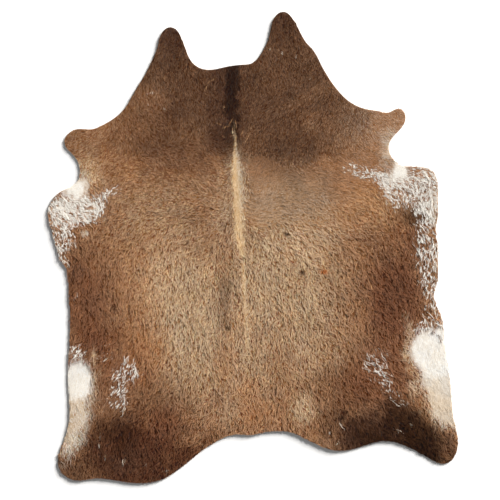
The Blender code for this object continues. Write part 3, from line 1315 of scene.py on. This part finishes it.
    def levels(self):
        """How high each lock stands off the skin."""
        growth, flat = self.growth, self.flat
        dome = np.clip(1 - (self.off / self.TUFT_RIM) ** 2, self.HOLLOW, 1)
        ridge = growth.ridge * (self.DOME_RIDGE * dome + self.STREAK_RIDGE * self.streak)
        relief = self.HEIGHT_STRAY * growth.height * self.own_height + ridge
        level = growth.height * (1 - self.FLAT_HEIGHT * flat) + (1 - self.FLAT_RELIEF * flat) * relief
        return level + self.FLECK_RISE * self.white * (1 - flat)

    def slopes(self):
        """How steeply the coat falls off across each lock."""
        read = self.hide.lie.read
        beside = self.SLOPE_REACH * self.sideways
        slope = read(self.streaks, *(self.middle + beside)) - read(self.streaks, *(self.middle - beside))
        return slope * (self.SLOPE_STRENGTH * self.growth.ridge / (2 * self.SLOPE_REACH))

    def shape(self):
        """Give each lock its points, which rise out of the skin, run along and dip at the tip."""
        growth, hide, rng = self.growth, self.hide, self.rng
        level = self.levels()
        roll = np.arctan(self.slopes()) + rng.normal(0, self.ROLL_STRAY, self.count)
        roll *= 1 - self.FLAT_RELIEF * self.flat
        half_width = 0.5 * (growth.width * rng.uniform(*self.WIDTH_RANGE, self.count))
        curl = growth.wave * rng.normal(0, self.CURL_STRAY, self.count)
        stops = np.linspace(0, 1, growth.bends + 2)
        corners = []
        grounds = []
        for stop, up, wide in zip(stops, np.interp(stops, *self.RISE), np.interp(stops, *self.TAPER)):
            place = self.root + self.run * stop
            place += self.sideways * (growth.wave * hide.bend(*place) + 4 * stop * (1 - stop) * curl)
            ground = hide.surface.height(*place)
            middle = np.vstack([place, ground + level * up])
            half = half_width * wide
            side = np.vstack([self.sideways * (half * np.cos(roll)), half * np.sin(roll)])
            # A lock narrows to a single point at its tip
            corners += [middle - side, middle + side] if wide > 0 else [middle]
            grounds += [ground, ground] if wide > 0 else [ground]
        self.points = np.ascontiguousarray(np.transpose(corners, (2, 0, 1)))
        # The skin's own slope is too slight to see in the coat's shading
        above_skin = self.points.copy()
        above_skin[..., 2] -= np.stack(grounds, 1)
        self.normals = lock_normals(above_skin, OWN_FACING * (1 - self.FLAT_FACING * self.flat))
        self.points[..., 2] = np.maximum(self.points[..., 2], self.LOWEST)
        self.within = self.places_within(stops)

    def places_within(self, stops):
        """Each point's place in its lock, for the strands: across, along, and the lock's own number."""
        sides = np.tile((0.0, 1.0), len(stops))[:-1]
        sides[-1] = 0.5
        steps = np.repeat(stops, 2)[:-1]
        seed = self.rng.uniform(0, 1, self.count)
        return np.stack(np.broadcast_arrays(sides, steps, seed[:, None]), -1)


def lock_normals(points, own_facing):
    """Each lock's own normals, turned towards straight up, as fine hair scatters light."""
    pairs = (points.shape[1] - 1) // 2
    left, right = points[:, 0:2 * pairs:2], points[:, 1:2 * pairs:2]
    spine = np.concatenate([(left + right) / 2, points[:, -1:]], 1)
    ahead = np.gradient(spine, axis=1)[:, :-1]
    across_lock = right - left
    facing = np.cross(across_lock, ahead)
    facing /= np.maximum(np.linalg.norm(facing, axis=2, keepdims=True), 1e-12)
    facing *= np.sign(facing[..., 2:])
    own_facing = own_facing[:, None, None]
    facing = own_facing * facing + (1 - own_facing) * np.array((0.0, 0.0, 1.0))
    facing /= np.linalg.norm(facing, axis=2, keepdims=True)
    return np.concatenate([np.repeat(facing, 2, axis=1), facing[:, -1:]], 1)


def lock_faces(count, per_lock, first):
    """The quads of each lock's stiff lengths, and the triangle at its tip."""
    start = first + per_lock * np.arange(count)[:, None]
    pairs = (per_lock - 1) // 2
    quads = [start + np.array((2 * k, 2 * k + 2, 2 * k + 3, 2 * k + 1)) for k in range(pairs - 1)]
    tips = start + np.array((per_lock - 3, per_lock - 1, per_lock - 2))
    return np.concatenate(quads), tips


HAIR_PIECES = (
    "hair_left_flank", "hair_left_back", "hair_spine", "hair_right_back", "hair_right_flank",
)
MOST_TRIANGLES = 200000


def build_coat(settings, hide):
    """The coat, in strips of about the same number of triangles from left to right."""
    grown = [Locks(growth, settings, hide) for growth in GROWTHS]
    columns = np.concatenate([locks.points[:, 0, 0] for locks in grown])
    triangles = np.concatenate([np.full(locks.count, locks.points.shape[1] - 2) for locks in grown])
    order = np.argsort(columns)
    running = np.cumsum(triangles[order])
    shares = np.arange(1, len(HAIR_PIECES)) / len(HAIR_PIECES)
    bounds = [-np.inf, *columns[order][np.searchsorted(running, shares * running[-1])], np.inf]
    finish = hair_finish()
    return [
        build_strip(name, grown, low, high, finish)
        for name, low, high in zip(HAIR_PIECES, bounds, bounds[1:])
    ]


def build_strip(name, grown, low, high, finish):
    """One strip of the coat: the locks whose roots lie between two bounds from left to right."""
    points, colours, within, normals, quads, tips = [], [], [], [], [], []
    first = 0
    for locks in grown:
        root = locks.points[:, 0, 0]
        mine = (root > low) & (root <= high)
        count, per_lock = mine.sum(), locks.points.shape[1]
        points.append(locks.points[mine].reshape(-1, 3))
        colours.append(np.repeat(locks.colours[mine], per_lock, axis=0))
        within.append(locks.within[mine].reshape(-1, 3))
        normals.append(locks.normals[mine].reshape(-1, 3))
        new_quads, new_tips = lock_faces(count, per_lock, first)
        quads.append(new_quads)
        tips.append(new_tips)
        first += count * per_lock
    quads, tips = np.concatenate(quads), np.concatenate(tips)
    triangles = 2 * len(quads) + len(tips)
    if triangles >= MOST_TRIANGLES:
        raise RuntimeError(f"{name} has {triangles} triangles")
    piece = mesh_piece(name, np.concatenate(points), [quads, tips], [finish])
    store(piece, "coat", "FLOAT_COLOR", with_alpha(np.concatenate(colours)))
    store(piece, "lock", "FLOAT_VECTOR", np.concatenate(within))
    piece.data.normals_split_custom_set_from_vertices(np.concatenate(normals))
    lay_flat_map(piece)
    return piece


class Hide:
    """What the skin and the coat share: the cut edge, the surface, the pattern and the lay."""

    def __init__(self, settings):
        self.rng = np.random.default_rng(SEED)
        self.loop = cut_edge()
        self.edge_distance = EdgeDistance(self.loop)
        self.surface = HideSurface(settings.sizes, self.edge_distance, self.rng)
        self.pattern = CoatPattern(settings.shades, self.rng)
        self.lie = Lie(self.loop, self.rng)
        self.streaks = {
            growth.name: self.lie.streaks(self.rng, growth.streak_width, growth.streak_length)
            for growth in GROWTHS
        }
        self.broad_streaks = self.lie.streaks(self.rng, BROAD_STREAK_WIDTH, BROAD_STREAK_LENGTH)
        self.flecks = self.lie.streaks(self.rng, FLECK_WIDTH, FLECK_LENGTH)
        self.bend = Mottle(self.rng, WAVE_LENGTH)


# Materials


class Value:
    """One output of a material's nodes. Sums and products of values add its Math nodes."""

    def __init__(self, finish, socket):
        self.finish = finish
        self.socket = socket

    def math(self, operation, first, second):
        """One Math node's result."""
        return self.finish.node("ShaderNodeMath", {"operation": operation}, {0: first, 1: second})

    def __add__(self, other):
        return self.math("ADD", self, other)

    def __radd__(self, other):
        return self.math("ADD", other, self)

    def __sub__(self, other):
        return self.math("SUBTRACT", self, other)

    def __rsub__(self, other):
        return self.math("SUBTRACT", other, self)

    def __mul__(self, other):
        return self.math("MULTIPLY", self, other)

    def __rmul__(self, other):
        return self.math("MULTIPLY", other, self)


class Finish:
    """A material and its nodes."""

    def __init__(self, name, **constants):
        self.material = bpy.data.materials.new(name)
        self.material.use_nodes = True
        self.tree = self.material.node_tree
        self.shader = self.tree.nodes["Principled BSDF"]
        for socket, value in constants.items():
            self.shader.inputs[socket.replace("_", " ")].default_value = value

    def node(self, kind, settings=None, sockets=None, output=0):
        """Add a node: its settings first, then the values or links of its sockets."""
        node = self.tree.nodes.new(kind)
        for name, value in (settings or {}).items():
            setattr(node, name, value)
        for key, value in (sockets or {}).items():
            self.fill(node.inputs[key], value)
        return Value(self, node.outputs[output])

    def fill(self, socket, value):
        """Link a value to a socket, or set the socket to a constant."""
        if isinstance(value, Value):
            self.tree.links.new(value.socket, socket)
        else:
            socket.default_value = value

    def shade(self, **sockets):
        """Link values to the shader's sockets."""
        for name, value in sockets.items():
            self.fill(self.shader.inputs[name.replace("_", " ")], value)

    def tinted(self, colour, factor):
        """A colour made darker or lighter by a value."""
        return self.node(
            "ShaderNodeVectorMath", {"operation": "SCALE"}, {0: colour, "Scale": factor},
        )

    def multiplied(self, first, second):
        """Places or colours, each of the three parts multiplied on its own."""
        return self.node("ShaderNodeVectorMath", {"operation": "MULTIPLY"}, {0: first, 1: second})

    def mixed(self, factor, first, second):
        """A colour that goes from the first to the second as the factor goes from 0 to 1."""
        return self.node(
            "ShaderNodeMix", {"data_type": "RGBA"}, {0: factor, 6: (*first, 1), 7: (*second, 1)},
            output=2,
        )

    def warmed(self, tone, middle):
        """A tone as a colour, redder where it is darker than its middle and bluer where it is lighter."""
        return self.node(
            "ShaderNodeVectorMath", {"operation": "MULTIPLY_ADD"},
            {0: tone - middle, 1: STRAND_SHADE_HUE, 2: (middle, middle, middle)},
        )


def hair_finish():
    """Fine strands: streaks along each lock, with painted shade at the root and darker strands painted
    warmer, and a satin gloss.
    """
    finish = Finish("hair", Sheen_Weight=0.0, Specular_IOR_Level=0.05)
    # How often the strands change across a lock, along it, and from lock to lock
    strand_scale = (14.0, 1.6, 371.0)
    middle_tone = 0.925
    coat = finish.node("ShaderNodeAttribute", {"attribute_name": "coat"})
    lock = finish.node("ShaderNodeAttribute", {"attribute_name": "lock"}, output="Vector")
    share = finish.node("ShaderNodeSeparateXYZ", None, {0: lock}, output="Y")
    strands = finish.node(
        "ShaderNodeTexNoise", {"noise_dimensions": "3D"},
        {"Vector": finish.multiplied(lock, strand_scale), "Scale": 1.0, "Detail": 2.0},
    )
    # Painted shade: each lock is darker at its root, where it lies under the others
    painted_root_shade = 0.8 + 0.25 * share
    strand_tone = 0.62 + 0.76 * strands
    bump = finish.node(
        "ShaderNodeBump", None, {"Strength": 0.5, "Distance": 0.3 * MM, "Height": strands},
    )
    # Darker strands are painted redder and lighter ones bluer, as warm shade
    finish.shade(
        Base_Color=finish.multiplied(coat, finish.warmed(painted_root_shade * strand_tone, middle_tone)),
        Roughness=0.42 + 0.3 * strands,
        Normal=bump,
    )
    return finish.material


def undercoat_finish():
    """The hair side under the locks: the same colours, in the shade of the coat."""
    finish = Finish("undercoat", Sheen_Weight=0.1, Sheen_Roughness=0.5, Specular_IOR_Level=0.25)
    coat = finish.node("ShaderNodeAttribute", {"attribute_name": "coat"})
    # How often the grain changes in a metre, in x, y and z
    grain_scale = (900.0, 260.0, 300.0)
    places = finish.node("ShaderNodeTexCoord", output="Object")
    grain = finish.node(
        "ShaderNodeTexNoise", None,
        {"Vector": finish.multiplied(places, grain_scale), "Scale": 1.0, "Detail": 3.0},
    )
    bump = finish.node(
        "ShaderNodeBump", None, {"Strength": 0.6, "Distance": 0.5 * MM, "Height": grain},
    )
    finish.shade(
        Base_Color=finish.tinted(coat, 0.7 + 0.5 * grain),
        Roughness=0.6 + 0.3 * grain,
        Normal=bump,
    )
    return finish.material


def suede_finish():
    """The flesh side and the cut edge: soft napped leather, cream with grey clouds."""
    finish = Finish("suede", Sheen_Weight=0.3, Sheen_Roughness=0.6, Specular_IOR_Level=0.2)
    places = finish.node("ShaderNodeTexCoord", output="Object")
    nap = finish.node("ShaderNodeTexNoise", None, {"Vector": places, "Scale": 420.0, "Detail": 4.0})
    clouds = finish.node("ShaderNodeTexNoise", None, {"Vector": places, "Scale": 7.0, "Detail": 3.0})
    leather = finish.mixed(clouds, (0.62, 0.52, 0.38), (0.50, 0.42, 0.31))
    bump = finish.node("ShaderNodeBump", None, {"Strength": 0.4, "Distance": 0.4 * MM, "Height": nap})
    finish.shade(
        Base_Color=finish.tinted(leather, 0.75 + 0.4 * nap),
        Roughness=0.75 + 0.2 * nap,
        Normal=bump,
    )
    return finish.material


def floor_finish():
    """Smooth white studio floor."""
    finish = Finish("studio floor", Roughness=0.85, Specular_IOR_Level=0.1)
    places = finish.node("ShaderNodeTexCoord", output="Object")
    grain = finish.node("ShaderNodeTexNoise", None, {"Vector": places, "Scale": 3.0, "Detail": 2.0})
    finish.shade(Base_Color=finish.mixed(grain, (0.9, 0.9, 0.9), (0.91, 0.91, 0.91)))
    return finish.material


# The studio

LENS = 85.0
SENSOR = 36.0
FLOOR_SIDE = 30.0
FLOOR_GAP = 0.2 * MM
KEY_SPREAD = radians(28)
KEY_COLOUR = (1.0, 0.985, 0.96)
KEY_DISTANCE = 3.0


def build_camera():
    """The photograph's camera, straight above the hide."""
    wide = VIEW_PIXELS * PIXEL
    camera = bpy.data.objects.new("camera", bpy.data.cameras.new("camera"))
    camera.data.lens = LENS
    camera.data.sensor_width = SENSOR
    height = CAD_BOX[1][2] + wide * LENS / SENSOR
    camera.location = (across(VIEW_MIDDLE[0]), along(VIEW_MIDDLE[1]), height)
    bpy.context.scene.collection.objects.link(camera)
    bpy.context.scene.camera = camera


def build_key(studio):
    """A soft light low on the right of the neck, so the hair casts short shadows to the lower left."""
    light = bpy.data.lights.new("key", "SUN")
    light.angle = KEY_SPREAD
    light.color = KEY_COLOUR
    light.energy = studio.key * pi / sin(studio.key_height)
    flat = cos(studio.key_height)
    towards = Vector((flat * cos(KEY_AZIMUTH), flat * sin(KEY_AZIMUTH), sin(studio.key_height)))
    lamp = bpy.data.objects.new("key", light)
    lamp.location = KEY_DISTANCE * towards
    lamp.rotation_euler = towards.to_track_quat("Z", "Y").to_euler()
    bpy.context.scene.collection.objects.link(lamp)


def build_fill(studio):
    """Even light from all round."""
    world = bpy.data.worlds.new("studio")
    world.use_nodes = True
    background = world.node_tree.nodes["Background"]
    background.inputs["Color"].default_value = (1.0, 1.0, 1.0, 1.0)
    background.inputs["Strength"].default_value = studio.fill
    bpy.context.scene.world = world


def build_floor():
    """A plain pale floor just under the hide."""
    half = FLOOR_SIDE / 2
    corners = np.array([(-half, -half, 0), (half, -half, 0), (half, half, 0), (-half, half, 0)])
    corners[:, 2] = CAD_BOX[0][2] - FLOOR_GAP
    floor = mesh_piece("floor", corners, [np.array([(0, 1, 2, 3)])], [floor_finish()])


# Operators, panel and running


class COWHIDE_OT_skin(bpy.types.Operator):
    """Build the tanned skin with its suede underside"""

    bl_idname = "cowhide.skin"
    bl_label = "Build Skin"

    def execute(self, context):
        settings = context.scene.cowhide
        hide = Hide(settings)
        skin = build_skin(settings, hide)
        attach(skin, BODY)
        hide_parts(HIDE_NODE)
        return {"FINISHED"}


class COWHIDE_OT_coat(bpy.types.Operator):
    """Grow the coat of hair on the skin"""

    bl_idname = "cowhide.coat"
    bl_label = "Grow Coat"

    def execute(self, context):
        settings = context.scene.cowhide
        skin = bpy.data.objects.get("skin")
        if skin is None:
            raise RuntimeError("build the skin before its coat")
        hide = Hide(settings)
        hair = build_coat(settings, hide)
        for piece in hair:
            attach(piece, BODY)
        return {"FINISHED"}


class COWHIDE_OT_stage(bpy.types.Operator):
    """Set up the white floor, the soft light and the camera above"""

    bl_idname = "cowhide.stage"
    bl_label = "Set Up Studio"

    def execute(self, context):
        studio = context.scene.cowhide.studio
        build_floor()
        build_key(studio)
        build_fill(studio)
        build_camera()
        context.scene.view_settings.view_transform = "Standard"
        return {"FINISHED"}


class COWHIDE_PT_panel(bpy.types.Panel):
    """The rug's settings and steps"""

    bl_idname = "COWHIDE_PT_panel"
    bl_label = "Cowhide Rug"
    bl_space_type = "VIEW_3D"
    bl_region_type = "UI"
    bl_category = "Cowhide"

    def draw(self, context):
        settings = context.scene.cowhide
        for group in (settings.sizes, settings.shades, settings.studio):
            box = self.layout.box()
            for name in type(group).__annotations__:
                box.prop(group, name)
        for step in (COWHIDE_OT_skin, COWHIDE_OT_coat, COWHIDE_OT_stage):
            self.layout.operator(step.bl_idname)


CLASSES = (
    CowhideShades, CowhideSizes, CowhideStudio, CowhideSettings,
    COWHIDE_OT_skin, COWHIDE_OT_coat, COWHIDE_OT_stage, COWHIDE_PT_panel,
)


def register():
    for cls in CLASSES:
        bpy.utils.register_class(cls)
    bpy.types.Scene.cowhide = PointerProperty(type=CowhideSettings)


def unregister():
    del bpy.types.Scene.cowhide
    for cls in reversed(CLASSES):
        bpy.utils.unregister_class(cls)


def main():
    """Build the skin, its coat and the studio."""
    register()
    bpy.ops.cowhide.skin()
    bpy.ops.cowhide.coat()
    bpy.ops.cowhide.stage()
    bpy.context.view_layer.update()


if __name__ == "__main__":
    main()
